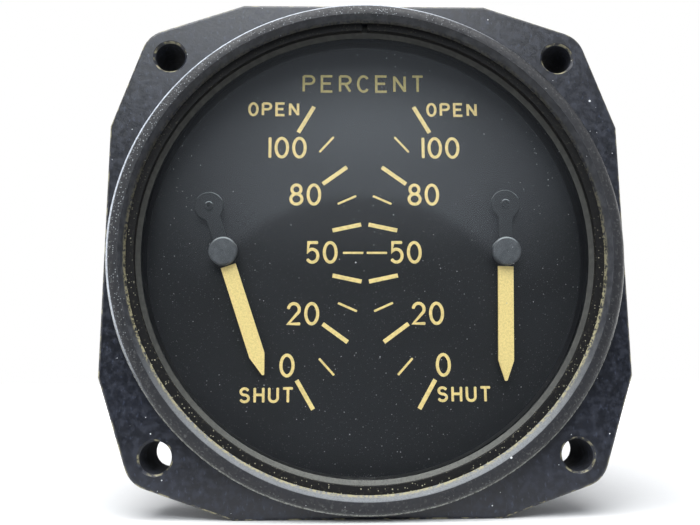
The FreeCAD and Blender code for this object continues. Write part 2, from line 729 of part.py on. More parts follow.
def fixed_pieces():
    """Every piece that stays with the case, by name."""
    pieces = {
        "case": case(),
        "snap_ring": snap_ring(),
        "glass_gasket": glass_gasket(),
        "cover_glass": cover_glass(),
        "spacer_ring": spacer_ring(),
        "dial": dial(),
        "front_plate": front_plate(),
        "bearing_plate": bearing_plate(),
        "connector_shell": connector_shell(),
        "connector_insert": connector_insert(),
        "contact_pins": group(contact_pin, pin_places()),
        "chassis_screws": group(chassis_screw, post_places()),
        "connector_screws": group(connector_screw, corner_places(CONNECTOR_SPACING)),
    }
    for number, (x, z) in enumerate(post_places(), 1):
        pieces["front_post_" + str(number)] = front_post(x, z)
        pieces["rear_post_" + str(number)] = rear_post(x, z)
    for name, sign in SIDES.items():
        x = sign * PIVOT_OFFSET
        pieces["shield_can_" + name] = shield_can(x)
        pieces["damping_cup_" + name] = damping_cup(x)
        pieces["stator_core_" + name] = stator_core(x)
        pieces["stator_winding_" + name] = stator_winding(x)
        pieces["front_bush_" + name] = front_bush(x)
        pieces["rear_bush_" + name] = rear_bush(x)
        pieces["lead_" + name] = lead(sign)
    return pieces


def moving_pieces():
    """Every piece that turns with a pointer, by name."""
    pieces = {}
    for name, sign in SIDES.items():
        pieces["pointer_" + name] = on_pivot(pointer(), name)
        pieces["pointer_hub_" + name] = on_pivot(pointer_hub(), name)
        pieces["counterweight_" + name] = on_pivot(counterweight(), name)
        pieces["balance_rivet_" + name] = on_pivot(balance_rivet(), name)
        pieces["rotor_shaft_" + name] = rotor_shaft(sign * PIVOT_OFFSET)
        pieces["rotor_magnet_" + name] = rotor_magnet(sign * PIVOT_OFFSET)
    return pieces


os.makedirs("parts", exist_ok=True)
for piece_name, piece in {**fixed_pieces(), **moving_pieces()}.items():
    save(piece_name, piece)
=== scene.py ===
import json
import math
from functools import cached_property

import bmesh
import bpy
from bpy.props import FloatProperty, FloatVectorProperty, PointerProperty
from bpy.types import Operator, Panel, PropertyGroup
from mathutils import Matrix, Vector


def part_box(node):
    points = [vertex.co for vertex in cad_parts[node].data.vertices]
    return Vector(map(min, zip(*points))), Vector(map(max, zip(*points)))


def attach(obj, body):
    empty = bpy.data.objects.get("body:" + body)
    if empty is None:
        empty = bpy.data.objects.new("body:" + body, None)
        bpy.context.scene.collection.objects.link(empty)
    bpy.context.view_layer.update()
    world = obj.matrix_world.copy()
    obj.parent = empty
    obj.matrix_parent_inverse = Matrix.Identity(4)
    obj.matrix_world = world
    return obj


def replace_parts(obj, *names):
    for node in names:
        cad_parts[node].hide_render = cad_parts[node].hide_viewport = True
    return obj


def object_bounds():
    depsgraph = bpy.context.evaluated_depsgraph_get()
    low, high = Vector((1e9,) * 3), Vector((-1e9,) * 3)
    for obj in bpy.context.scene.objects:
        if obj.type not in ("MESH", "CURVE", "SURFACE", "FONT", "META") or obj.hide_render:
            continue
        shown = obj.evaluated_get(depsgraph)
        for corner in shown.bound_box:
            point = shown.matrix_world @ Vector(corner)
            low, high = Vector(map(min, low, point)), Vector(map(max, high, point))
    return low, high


bl_info = {
    "name": "Cowl flap position indicator",
    "version": (1, 0, 0),
    "blender": (4, 5, 0),
    "location": "3D View > Sidebar > Indicator",
    "description": "Finishes, dial markings and studio for a panel instrument with two pointers",
    "category": "Object",
}

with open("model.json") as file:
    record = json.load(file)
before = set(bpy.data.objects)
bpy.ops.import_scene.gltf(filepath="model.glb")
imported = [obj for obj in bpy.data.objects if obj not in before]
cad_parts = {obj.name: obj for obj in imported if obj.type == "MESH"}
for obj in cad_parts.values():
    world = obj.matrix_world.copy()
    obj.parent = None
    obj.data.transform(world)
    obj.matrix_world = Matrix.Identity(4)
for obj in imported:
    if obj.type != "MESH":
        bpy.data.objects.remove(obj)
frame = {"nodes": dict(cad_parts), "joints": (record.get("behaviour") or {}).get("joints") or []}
CAD_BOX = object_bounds()

MM = 0.001
SIDES = {"left": -1, "right": 1}
CASE_BODY = "case_body"
NODES = frame["nodes"]
PIVOTS = {side: Vector(joint["pos_m"]) for side in SIDES for joint in frame["joints"]
          if joint["name"].startswith(side)}
DIAL_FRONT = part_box("dial")[0].y
GLASS_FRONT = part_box("cover_glass")[0].y
REST_ANGLES = {"left": -71.3, "right": -92.0}
MOUNTING_CIRCLE = 88.9 * MM
THREAD_PITCH = 25.4 / 20 * MM
THREAD_CREST = 11.11 * MM
THREAD_DEPTH = 0.7 * MM
THREAD_ROWS = 8
THREAD_TOLERANCE = 0.02 * MM
SHORTEST_BARREL = 5 * MM
WELD_DISTANCE = 0.002 * MM
SHARP_ANGLE = math.radians(32)
BLADE_START = 2.32 * MM

# Percent scale: the first mark's angle about its pivot, the step from mark to mark, and where marks begin and
# end, in millimetres from the pivot and in order from either end of the scale to its middle
ZERO_ANGLE = -60.0
MARK_STEP = 12.0
MARK_COUNT = 11
MARK_INNER = (23.38, 22.81, 19.47, 20.00, 17.72, 19.11)
MARK_OUTER = (28.56, 26.13, 24.36, 23.12, 22.47, 22.21)

# Numbers and words: text, middle x on the left and on the right, and middle z, in millimetres. The word over
# both scales has one x.
NUMBERS = (
    ("100", -12.64, 12.66, 17.64),
    ("80", -9.68, 9.64, 9.68),
    ("50", -7.00, 6.59, 0.09),
    ("20", -9.96, 9.94, -9.80),
    ("0", -12.41, 12.22, -17.94),
)
END_WORDS = (
    ("OPEN", -15.00, 14.67, 24.26),
    ("SHUT", -15.60, 15.35, -22.50),
)
SCALE_WORD = ("PERCENT", -0.05, 28.77)

# Height, width of a letter, and gap between letters
END_WORD_SIZE = (2.45 * MM, 1.74 * MM, 0.51 * MM)
SCALE_WORD_SIZE = (3.12 * MM, 2.16 * MM, 0.88 * MM)
NUMBER_GAP = 0.5 * MM

# Cross-section of a paint stroke: where its flat top ends, as a share of its half width, and how much lower
# each further stroke of a letter lies, so that no two tops coincide
PAINT_SHOULDER = 0.86
STROKE_STEP = 0.08

# Tones of wear and dust, and of painted sheen, glints, highlights and reflection, as red, green and blue
GRIT = (0.20, 0.205, 0.20)
BEVEL_PAINTED_SHEEN = (0.050, 0.053, 0.060)
CRUMB_GLINTS = (0.28, 0.30, 0.32)
PAINTED_CROWN_HIGHLIGHT = (0.62, 0.67, 0.75)
SETTLED_DUST = (0.34, 0.36, 0.38)
CROWN_WEAR_AND_REFLECTION = (0.33, 0.34, 0.31)
RING_GRAINS = (0.42, 0.40, 0.29)
RUBBER_DUST = (0.36, 0.37, 0.33)
SPACER_DUST = (0.42, 0.42, 0.38)
PAINTED_EDGE_HIGHLIGHT = (0.34, 0.37, 0.38)


def swing(centre_x, centre_z, radius_x, radius_z, start, end, steps=18):
    """Points on an elliptical arc between two angles in degrees."""
    points = []
    for step in range(steps + 1):
        angle = math.radians(start + (end - start) * step / steps)
        points.append((centre_x + radius_x * math.cos(angle), centre_z + radius_z * math.sin(angle)))
    return points


def letter_strokes():
    """Each character as pen strokes in a unit square. A stroke that ends where it began is a loop."""
    bowl = [(0, 1)] + swing(0.56, 0.75, 0.44, 0.25, 90, -90, 10) + [(0, 0.5)]
    return {
        "0": [swing(0.5, 0.5, 0.5, 0.5, 0, 360, 36)],
        "O": [swing(0.5, 0.5, 0.5, 0.5, 0, 360, 36)],
        "1": [[(0.5, 0), (0.5, 1)]],
        "2": [swing(0.5, 0.71, 0.48, 0.29, 168, -28) + [(0.02, 0), (1, 0)]],
        "5": [[(0.92, 1), (0.14, 1), (0.05, 0.52)] + swing(0.46, 0.33, 0.52, 0.33, 128, -142)],
        "8": [swing(0.5, 0.765, 0.41, 0.235, -90, 270, 30), swing(0.5, 0.265, 0.5, 0.265, 90, 450, 30)],
        "C": [swing(0.52, 0.5, 0.52, 0.5, 42, 318, 28)],
        "E": [[(1, 1), (0, 1), (0, 0), (1, 0)], [(0, 0.52), (0.86, 0.52)]],
        "H": [[(0, 0), (0, 1)], [(1, 0), (1, 1)], [(0, 0.52), (1, 0.52)]],
        "N": [[(0, 0), (0, 1)], [(1, 0), (1, 1)], [(0.03, 0.95), (0.97, 0.05)]],
        "P": [[(0, 0), (0, 1)], bowl],
        "R": [[(0, 0), (0, 1)], bowl, [(0.5, 0.5), (0.98, 0)]],
        "S": [swing(0.5, 0.76, 0.44, 0.24, 28, 268, 16) + swing(0.5, 0.26, 0.48, 0.26, 88, -152, 16)],
        "T": [[(0, 1), (1, 1)], [(0.5, 1), (0.5, 0)]],
        "U": [[(0, 1)] + swing(0.5, 0.32, 0.5, 0.32, 180, 360, 16) + [(1, 1)]],
    }


STROKES = letter_strokes()
LETTER_WIDTHS = {"1": 0.0, "0": 1.0, "8": 0.95, "5": 0.93, "2": 0.95}


class MarkingSizes(PropertyGroup):
    """Sizes and colour of what is painted on the dial."""

    thick_mark: FloatProperty(name="Thick mark", description="Width of the marks at even tens",
                              default=0.68 * MM, unit="LENGTH", subtype="DISTANCE")
    thin_mark: FloatProperty(name="Thin mark", description="Width of the marks at odd tens",
                             default=0.36 * MM, unit="LENGTH", subtype="DISTANCE")
    number_height: FloatProperty(name="Number height", description="Height of the numbers over their paint",
                                 default=3.72 * MM, unit="LENGTH", subtype="DISTANCE")
    number_width: FloatProperty(name="Number width", description="Width of a nought over its paint",
                                default=2.4 * MM, unit="LENGTH", subtype="DISTANCE")
    number_stroke: FloatProperty(name="Number stroke", description="Width of the paint in a number",
                                 default=0.5 * MM, unit="LENGTH", subtype="DISTANCE")
    word_stroke: FloatProperty(name="Word stroke", description="Width of the paint in a word",
                               default=0.42 * MM, unit="LENGTH", subtype="DISTANCE")
    paint_height: FloatProperty(name="Paint height", description="How far the paint stands on the dial",
                                default=0.04 * MM, unit="LENGTH", subtype="DISTANCE")
    paint_colour: FloatVectorProperty(name="Paint colour", description="Cream paint of marks and letters",
                                      default=(0.90, 0.70, 0.28), size=3, min=0, max=1, subtype="COLOR")


class CaseColours(PropertyGroup):
    """Colours of the case, the dial and the pointers."""

    case_colour: FloatVectorProperty(name="Case", description="Moulded phenolic",
                                     default=(0.0075, 0.0090, 0.0145),
                                     size=3, min=0, max=1, subtype="COLOR")
    wear_colour: FloatVectorProperty(name="Worn edge", description="Where the finish has rubbed away",
                                     default=(0.36, 0.33, 0.20), size=3, min=0, max=1, subtype="COLOR")
    dust_colour: FloatVectorProperty(name="Dust", description="Specks on case, glass and dial",
                                     default=(0.62, 0.64, 0.66), size=3, min=0, max=1, subtype="COLOR")
    dial_colour: FloatVectorProperty(name="Dial", description="Matt black paint of dial and spacer",
                                     default=(0.0052, 0.0058, 0.0076),
                                     size=3, min=0, max=1, subtype="COLOR")
    blade_colour: FloatVectorProperty(name="Blade", description="Cream paint of the pointers' blades",
                                      default=(0.89, 0.70, 0.29), size=3, min=0, max=1, subtype="COLOR")
    hub_colour: FloatVectorProperty(name="Hub", description="Matt black paint of hubs and tails",
                                    default=(0.044, 0.048, 0.054), size=3, min=0, max=1, subtype="COLOR")


class StudioSettings(PropertyGroup):
    """Camera and light."""

    lens: FloatProperty(name="Lens", description="Focal length on a 36 mm sensor",
                        default=36.77, unit="CAMERA")
    ceiling_power: FloatProperty(name="Ceiling light", description="Large lamp overhead, a little in front",
                                 default=3.5, unit="POWER")
    front_power: FloatProperty(name="Front light", description="Flat lamp high in front",
                               default=2.3, unit="POWER")
    side_power: FloatProperty(name="Side light", description="Weak lamp on the left",
                              default=0.3, unit="POWER")
    world_level: FloatProperty(name="World", description="Even light from all round", default=0.47)
    glow_level: FloatProperty(name="Window", description="Soft bright patch in front that the glass shows",
                              default=0.67)
    room_level: FloatProperty(name="Room", description="What the glass shows round that patch",
                              default=0.09)


class NodeWork:
    """Shader nodes under construction. Every method returns a socket to carry on from."""

    def __init__(self, tree, coordinates):
        self.tree = tree
        self.tree.nodes.clear()
        self.place, self.x, self.y, self.z = self.coordinates(coordinates)

    def node(self, kind, **settings):
        made = self.tree.nodes.new(kind)
        for name, value in settings.items():
            setattr(made, name, value)
        return made

    def connect(self, source, target):
        self.tree.links.new(source, target)

    def feed(self, target, value):
        """Link a socket, or set a number or colour."""
        if isinstance(value, bpy.types.NodeSocket):
            self.connect(value, target)
        elif hasattr(value, "__len__"):
            target.default_value = (*value[:3], 1.0)
        else:
            target.default_value = value

    def coordinates(self, kind):
        """Texture coordinates of one kind, whole and then split in three."""
        whole = self.node("ShaderNodeTexCoord").outputs[kind]
        split = self.node("ShaderNodeSeparateXYZ")
        self.connect(whole, split.inputs[0])
        return whole, *split.outputs

    def combine(self, operation, *values):
        """Arithmetic on sockets and numbers, taken in turn."""
        whole = values[0]
        for value in values[1:]:
            made = self.node("ShaderNodeMath", operation=operation)
            self.feed(made.inputs[0], whole)
            self.feed(made.inputs[1], value)
            whole = made.outputs[0]
        return whole

    def plus(self, *values):
        return self.combine("ADD", *values)

    def minus(self, *values):
        return self.combine("SUBTRACT", *values)

    def both(self, *masks):
        """Masks and shares multiplied."""
        return self.combine("MULTIPLY", *masks)

    def either(self, *masks):
        return self.combine("MAXIMUM", *masks)

    def distance(self, first, second):
        """Straight length of two steps at right angles."""
        return self.combine("POWER", self.plus(self.both(first, first), self.both(second, second)), 0.5)

    def between(self, value, low, high):
        """0 below low, 1 above high, smooth on the way. Low may be above high."""
        made = self.node("ShaderNodeMapRange", interpolation_type="SMOOTHSTEP")
        self.feed(made.inputs["Value"], value)
        made.inputs["From Min"].default_value = low
        made.inputs["From Max"].default_value = high
        return made.outputs[0]

    def scaled(self, value, low, high):
        """Spread a 0 to 1 value over another range."""
        made = self.node("ShaderNodeMapRange")
        self.feed(made.inputs["Value"], value)
        made.inputs["To Min"].default_value = low
        made.inputs["To Max"].default_value = high
        return made.outputs[0]

    def tint(self, base, other, mask):
        made = self.node("ShaderNodeMix", data_type="RGBA")
        self.feed(made.inputs[0], mask)
        self.feed(made.inputs[6], base)
        self.feed(made.inputs[7], other)
        return made.outputs[2]


class Finish(NodeWork):
    """A material under construction, in object coordinates."""

    def __init__(self, name):
        self.material = bpy.data.materials.new(name)
        self.material.use_nodes = True
        super().__init__(self.material.node_tree, "Object")
        self.output = self.node("ShaderNodeOutputMaterial")
        self.shader = self.node("ShaderNodeBsdfPrincipled")
        self.connect(self.shader.outputs[0], self.output.inputs["Surface"])

    @cached_property
    def from_axis(self):
        """Distance from the dial's axis."""
        return self.distance(self.x, self.z)

    def ring(self, low, high):
        """0 at one distance from the dial's axis and 1 at another, in millimetres."""
        return self.between(self.from_axis, low * MM, high * MM)

    def depth(self, low, high):
        """0 at one depth behind the flange's front face and 1 at another, in millimetres."""
        return self.between(self.y, low * MM, high * MM)

    def stretched(self, x, y, z):
        """Object coordinates, drawn out along an axis by a small factor there."""
        made = self.node("ShaderNodeMapping")
        self.connect(self.place, made.inputs[0])
        made.inputs["Scale"].default_value = (x, y, z)
        return made.outputs[0]

    def noise(self, size, detail=2.0, vector=None):
        """Cloudy noise whose features are about size metres across."""
        made = self.node("ShaderNodeTexNoise")
        self.connect(vector or self.place, made.inputs["Vector"])
        made.inputs["Scale"].default_value = 1.0 / size
        made.inputs["Detail"].default_value = detail
        return made.outputs[0]

    def specks(self, spacing, size, share):
        """Small round dots: one cell in each spacing, of which a share holds a dot of about that size."""
        cells = self.node("ShaderNodeTexVoronoi")
        self.connect(self.place, cells.inputs["Vector"])
        cells.inputs["Scale"].default_value = 1.0 / spacing
        pick = self.node("ShaderNodeSeparateColor")
        self.connect(cells.outputs["Color"], pick.inputs[0])
        limit = size / spacing / 2
        dots = self.between(cells.outputs["Distance"], limit * 1.25, limit * 0.75)
        return self.both(dots, self.between(pick.outputs[0], 1 - share, 1 - share + 0.02))

    def settled_dust(self, size):
        """Patchy dust where the surface faces up."""
        up = self.coordinates("Normal")[3]
        grains = self.scaled(self.between(self.noise(size, 4), 0.3, 0.6), 0.55, 1.0)
        return self.both(self.between(up, 0.25, 0.75), grains)

    def upper_edge_highlight(self):
        """Slanted edges round a flat front, where they face up: where a painted highlight goes."""
        back, up = self.coordinates("Normal")[2:]
        return self.both(self.between(back, -0.97, -0.85), self.between(up, 0.25, 0.5), 0.8)

    def colour(self, value):
        self.feed(self.shader.inputs["Base Color"], value)

    def rough(self, value):
        self.feed(self.shader.inputs["Roughness"], value)

    def metal(self, value=1.0):
        self.feed(self.shader.inputs["Metallic"], value)

    def bump(self, height, distance, strength=1.0):
        made = self.node("ShaderNodeBump")
        made.inputs["Distance"].default_value = distance
        made.inputs["Strength"].default_value = strength
        self.feed(made.inputs["Height"], height)
        self.connect(made.outputs[0], self.shader.inputs["Normal"])

    def wear_on(self, *node_names):
        for name in node_names:
            wear(NODES[name], self.material)


def wear(piece, material):
    piece.data.materials.clear()
    piece.data.materials.append(material)


def new_piece(name, mesh, material, body=CASE_BODY):
    piece = bpy.data.objects.new(name, mesh)
    bpy.context.scene.collection.objects.link(piece)
    wear(piece, material)
    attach(piece, body)
    return piece


# Ribbons of paint

def sideways_at(before, point, after):
    """Sideways direction at a point of a stroke, lengthened at a corner so that the sides stay parallel."""
    along = Vector((0, 0))
    if before is not None:
        along += (point - before).normalized()
    if after is not None:
        along += (after - point).normalized()
    along.normalize()
    sideways = Vector((-along.y, along.x))
    if before is None or after is None:
        return sideways
    step = (after - point).normalized()
    squareness = abs(sideways.dot(Vector((-step.y, step.x))))
    return sideways * min(1.5, 1 / max(squareness, 0.1))


def paint_stroke(mesh, points, half_width, height, rounded):
    """Lay one stroke of paint on the dial as a low ribbon with sloping sides."""
    line = [Vector(point) for point in points]
    closed = (line[0] - line[-1]).length < 1e-7
    if closed:
        line.pop()
    count = len(line)
    rows = []
    for number, point in enumerate(line):
        before = line[number - 1] if closed or number > 0 else None
        after = line[(number + 1) % count] if closed or number < count - 1 else None
        rows.append((point, sideways_at(before, point, after) * half_width))
    if rounded and not closed:
        rows = round_off(rows, half_width)
    sections = []
    for point, sideways in rows:
        section = []
        for share, lift in ((1.0, 0.0), (PAINT_SHOULDER, height), (-PAINT_SHOULDER, height), (-1.0, 0.0)):
            place = point + sideways * share
            section.append(mesh.verts.new((place.x, DIAL_FRONT - lift, place.y)))
        sections.append(section)
    pairs = list(zip(sections, sections[1:]))
    if closed:
        pairs.append((sections[-1], sections[0]))
    for here, there in pairs:
        for side in range(4):
            after = (side + 1) % 4
            mesh.faces.new((here[side], here[after], there[after], there[side]))
    if not closed:
        mesh.faces.new(sections[0])
        mesh.faces.new(sections[-1][::-1])


def round_off(rows, half_width):
    """Add narrowing rows past both ends of a stroke."""
    first, last = rows[0], rows[-1]
    back = (rows[0][0] - rows[1][0]).normalized()
    on = (rows[-1][0] - rows[-2][0]).normalized()
    reach = half_width * 0.6
    lead_in = []
    lead_out = []
    for angle in (25, 50, 75):
        along = reach * math.sin(math.radians(angle))
        narrow = math.cos(math.radians(angle))
        lead_in.insert(0, (first[0] + back * along, first[1] * narrow))
        lead_out.append((last[0] + on * along, last[1] * narrow))
    return lead_in + rows + lead_out


def finished_mesh(name, mesh):
    bmesh.ops.recalc_face_normals(mesh, faces=mesh.faces)
    data = bpy.data.meshes.new(name)
    mesh.to_mesh(data)
    mesh.free()
    return data


def write_text(name, text, centre, height, width, stroke, gap, paint_height, rounded):
    """Write one word or number, with its middle at centre, and return its mesh."""
    widths = [stroke + LETTER_WIDTHS.get(letter, 1.0) * (width - stroke) for letter in text]
    left = centre[0] - (sum(widths) + gap * (len(text) - 1)) / 2
    mesh = bmesh.new()
    for letter, letter_width in zip(text, widths):
        for number, stroke_points in enumerate(STROKES[letter]):
            points = []
            for x, z in stroke_points:
                points.append((left + stroke / 2 + x * (letter_width - stroke),
                               centre[1] + (z - 0.5) * (height - stroke)))
            paint_stroke(mesh, points, stroke / 2, paint_height * (1 - STROKE_STEP * number), rounded)
        left += letter_width + gap
    return finished_mesh(name, mesh)


def marking_paint(name="marking_paint", strength=1.0):
    """Cream paint, a little uneven, the same for every marking but one, which is painted darker and yellower:
    a painted shadow of the rim.
    """
    found = bpy.data.materials.get(name)
    if found:
        return found
    settings = bpy.context.scene.indicator_markings
    finish = Finish(name)
    # A strength below 1 makes the paint darker and yellower: painted shadow.
    painted_shadow = (strength, strength ** 0.92, strength ** 1.3)
    colour = Vector([whole * share for whole, share in zip(settings.paint_colour, painted_shadow)])
    patches = finish.between(finish.noise(0.5 * MM, 3), 0.35, 0.7)
    shade = finish.tint(colour, colour * 0.82, patches)
    flecks = finish.both(finish.specks(0.5 * MM, 0.1 * MM, 0.3), 0.5)
    finish.colour(finish.tint(shade, colour * 1.1, flecks))
    finish.rough(finish.scaled(finish.noise(0.2 * MM), 0.5, 0.7))
    finish.bump(finish.noise(0.12 * MM, 3), 0.02 * MM, 0.5)
    return finish.material


class INDICATOR_OT_case(Operator):
    """Finish the moulded case: satin phenolic, dusty, with worn edges, and painted sheen, glints, highlights
    and reflection on the rim
    """

    bl_idname = "indicator.case"
    bl_label = "Case"

    def execute(self, context):
        colours = context.scene.indicator_colours
        finish = Finish("case_phenolic")
        cloud = finish.between(finish.noise(9 * MM, 5), 0.35, 0.72)
        mottle = finish.between(finish.noise(1.2 * MM, 7), 0.42, 0.64)
        fine = finish.noise(0.45 * MM, 5)
        colour = Vector(colours.case_colour)
        base = finish.tint(colour * 0.75, colour * 1.35, cloud)
        base = finish.tint(base, colour * 2.6, finish.both(mottle, 0.6))
        hairs = finish.between(finish.noise(0.5 * MM, 7, finish.stretched(1, 1, 0.5)), 0.60, 0.66)
        base = finish.tint(base, colour * 6, finish.both(hairs, 0.4))

        front = finish.depth(0.9, 0.6)
        flange_edge = finish.both(finish.depth(0.03, 0.10), finish.ring(39.9, 40.1),
                                  finish.depth(0.42, 0.25))
        rim_face = finish.both(finish.ring(37.3, 37.6), finish.depth(-0.3, -0.8))
        outer_half = finish.ring(38.2, 38.7)
        crown = finish.both(finish.ring(39.25, 39.5), finish.depth(-1.0, -1.5))
        mouth = finish.both(finish.ring(37.12, 36.92), finish.depth(-0.95, -1.15))
        bevel = finish.both(finish.ring(36.75, 36.95), finish.ring(37.6, 37.4), finish.depth(-1.5, -1.9))
        low_half = finish.between(finish.z, 16 * MM, -16 * MM)
        upper_left = finish.between(finish.minus(finish.z, finish.x), 5 * MM, 35 * MM)

        scratches = finish.between(finish.noise(0.40 * MM, 7), 0.56, 0.66)
        base = finish.tint(base, colour * 0.5, finish.both(rim_face, 0.85))
        grit = finish.both(rim_face, scratches, finish.scaled(outer_half, 0.10, 0.30))
        base = finish.tint(base, GRIT, grit)
        # The inner bevel is painted a paler grey all round: a painted sheen of light from the sides.
        base = finish.tint(base, BEVEL_PAINTED_SHEEN, finish.both(bevel, finish.scaled(mottle, 0.5, 1.0)))
        # Pale grit specks on the rim face, only on the upper left: real grit, with painted glints where light
        # catches it.
        crumb_glints = finish.both(finish.specks(0.30 * MM, 0.17 * MM, 0.45), rim_face, upper_left, 0.75)
        base = finish.tint(base, CRUMB_GLINTS, crumb_glints)
        scuff_and_highlight_noise = finish.between(finish.noise(0.42 * MM, 6), 0.40, 0.56)
        # A pale bluish-white line along the upper left of the crown: a painted highlight.
        crown_highlight = finish.both(finish.ring(39.02, 39.25), finish.depth(-0.9, -1.3),
                               finish.scaled(scuff_and_highlight_noise, 0.6, 1.0), upper_left, 0.95)
        base = finish.tint(base, PAINTED_CROWN_HIGHLIGHT, crown_highlight)
        settled = finish.both(finish.settled_dust(0.22 * MM), finish.ring(37.75, 37.3), 0.58)
        base = finish.tint(base, SETTLED_DUST, settled)
        # The crown is painted paler, most on the lower half: rubbed wear, and a painted reflection of the
        # floor below.
        crown_wear_and_reflection = finish.both(crown, finish.scaled(scuff_and_highlight_noise, 0.35, 1.0),
                                 finish.scaled(low_half, 0.10, 0.85))
        base = finish.tint(base, CROWN_WEAR_AND_REFLECTION, crown_wear_and_reflection)
        chips = finish.between(finish.noise(1.1 * MM, 6), 0.46, 0.64)
        worn = finish.either(finish.both(flange_edge, chips, 0.75),
                             finish.both(mouth, scuff_and_highlight_noise, finish.scaled(low_half, 0.12, 1.0)))
        base = finish.tint(base, colours.wear_colour, worn)
        dust = finish.either(finish.specks(1.1 * MM, 0.12 * MM, 0.30),
                             finish.specks(2.3 * MM, 0.20 * MM, 0.22),
                             finish.specks(5.3 * MM, 0.34 * MM, 0.2))
        finish.colour(finish.tint(base, colours.dust_colour, finish.both(dust, front)))

        bores = finish.either(*[self.bore(finish, x, z) for x in (-1, 1) for z in (-1, 1)])
        dull = finish.plus(finish.scaled(finish.between(fine, 0.3, 0.75), 0.28, 0.40),
                           finish.both(mottle, 0.10),
                           finish.both(finish.ring(39.2, 38.9), rim_face, 0.24),
                           finish.both(crown, -0.10),
                           finish.both(finish.either(worn, grit, settled), 0.25))
        finish.rough(finish.either(dull, finish.both(bores, 0.9)))
        relief = finish.plus(fine, finish.both(mottle, 0.25), finish.both(rim_face, scratches, 2.2))
        finish.bump(relief, 0.022 * MM, 0.7)
        finish.wear_on("case")
        return {"FINISHED"}

    def bore(self, finish, side, height):
        """Where one mounting hole is, in from its edges."""
        place = MOUNTING_CIRCLE / 2 / math.sqrt(2)
        across = finish.minus(finish.x, side * place)
        up = finish.minus(finish.z, height * place)
        near = finish.between(finish.distance(across, up), 2.48 * MM, 2.43 * MM)
        return finish.both(near, finish.depth(0.25, 0.5))


class INDICATOR_OT_front_rings(Operator):
    """Finish the retaining ring, the rubber ring and the spacer"""

    bl_idname = "indicator.front_rings"
    bl_label = "Front rings"

    def execute(self, context):
        colours = context.scene.indicator_colours
        finish = Finish("ring_black")
        rust = finish.between(finish.noise(0.5 * MM, 6), 0.56, 0.8)
        base = finish.tint((0.004, 0.004, 0.0045), (0.04, 0.037, 0.028), rust)
        grains = finish.either(finish.specks(0.36 * MM, 0.15 * MM, 0.35),
                               finish.specks(0.9 * MM, 0.20 * MM, 0.3))
        low_half = finish.scaled(finish.between(finish.z, 20 * MM, -20 * MM), 0.10, 0.9)
        finish.colour(finish.tint(base, RING_GRAINS, finish.both(grains, low_half)))
        finish.shader.inputs["Specular IOR Level"].default_value = 0.22
        finish.rough(finish.scaled(finish.noise(0.5 * MM, 3), 0.5, 0.8))
        finish.bump(finish.noise(0.3 * MM, 4), 0.03 * MM)
        finish.wear_on("snap_ring")

        finish = Finish("gasket_rubber")
        bloom = finish.between(finish.noise(0.8 * MM, 5), 0.35, 0.75)
        base = finish.tint((0.016, 0.017, 0.015), (0.034, 0.035, 0.030), bloom)
        finish.colour(finish.tint(base, RUBBER_DUST, finish.both(finish.settled_dust(0.3 * MM), 0.26)))
        finish.rough(finish.scaled(finish.noise(0.4 * MM, 3), 0.5, 0.75))
        finish.bump(finish.noise(0.25 * MM, 3), 0.02 * MM)
        finish.wear_on("glass_gasket")

        finish = Finish("spacer_black")
        fine = finish.noise(0.3 * MM, 4)
        black = Vector(colours.dial_colour)
        base = finish.tint(black, black * 2.0, finish.between(fine, 0.4, 0.8))
        dust = finish.either(finish.both(finish.specks(1.1 * MM, 0.12 * MM, 0.3), 0.6),
                             finish.both(finish.settled_dust(0.4 * MM), 0.04))
        finish.colour(finish.tint(base, SPACER_DUST, dust))
        finish.rough(finish.scaled(fine, 0.35, 0.6))
        finish.bump(fine, 0.02 * MM)
        finish.wear_on("spacer_ring")
        return {"FINISHED"}


class INDICATOR_OT_cover_glass(Operator):
    """Finish the flat cover glass, clear with a few specks of dust"""

    bl_idname = "indicator.cover_glass"
    bl_label = "Cover glass"

    def execute(self, context):
        colours = context.scene.indicator_colours
        finish = Finish("glass_clear")
        clear = finish.node("ShaderNodeBsdfTransparent")
        clear.inputs[0].default_value = (0.985, 0.992, 0.990, 1)
        mirror = finish.node("ShaderNodeBsdfGlossy")
        mirror.inputs["Roughness"].default_value = 0.04
        slant = finish.node("ShaderNodeLayerWeight")
        slant.inputs["Blend"].default_value = 0.5
        grazing = finish.combine("POWER", slant.outputs["Facing"], 5.0)
        surface = finish.node("ShaderNodeMixShader")
        finish.connect(finish.scaled(grazing, 0.043, 1.0), surface.inputs[0])
        finish.connect(clear.outputs[0], surface.inputs[1])
        finish.connect(mirror.outputs[0], surface.inputs[2])
        dust = finish.either(finish.specks(1.3 * MM, 0.13 * MM, 0.34),
                             finish.specks(6.1 * MM, 0.26 * MM, 0.3))
        outside = finish.between(finish.y, GLASS_FRONT + 0.3 * MM, GLASS_FRONT + 0.1 * MM)
        finish.colour(colours.dust_colour)
        finish.shader.inputs["Roughness"].default_value = 0.9
        dusted = finish.node("ShaderNodeMixShader")
        finish.connect(finish.both(dust, outside, 0.7), dusted.inputs[0])
        finish.connect(surface.outputs[0], dusted.inputs[1])
        finish.connect(finish.shader.outputs[0], dusted.inputs[2])
        finish.connect(dusted.outputs[0], finish.output.inputs["Surface"])
        finish.wear_on("cover_glass")
        return {"FINISHED"}


